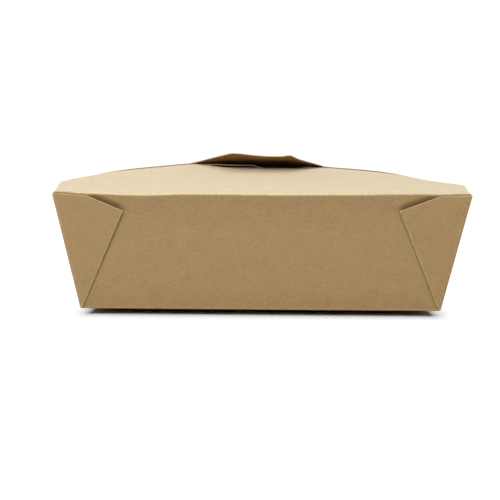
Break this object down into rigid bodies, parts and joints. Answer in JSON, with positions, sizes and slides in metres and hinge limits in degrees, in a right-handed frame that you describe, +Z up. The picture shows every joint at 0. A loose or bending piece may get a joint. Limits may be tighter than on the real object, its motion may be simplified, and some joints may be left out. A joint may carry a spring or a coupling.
{
  "type": "takeaway box",
  "caption": "Folded kraft board food box with outward-leaning walls, glued webbed corners, a crossing two-flap lid and a raised tongue.",
  "frame": {"origin": "middle of the base's underside", "axes": "+X along the long sides, +Y towards the side whose lid flap carries the tongue, +Z up"},
  "size_m": [0.2266, 0.1602, 0.0855],
  "materials": {
    "kraft_board": "natural brown kraft, fine fibre, faint satin"
  },
  "bodies": {
    "carton": {"carton": "kraft_board"},
    "lid": {"lid_flap": "kraft_board"}
  },
  "joints": [
    {"name": "lid_hinge", "type": "hinge", "parent": "carton", "child": "lid", "pos_m": [0, 0.07915, 0.06332], "axis": [-1, 0, 0], "range_deg": [0, 170]}
  ]
}
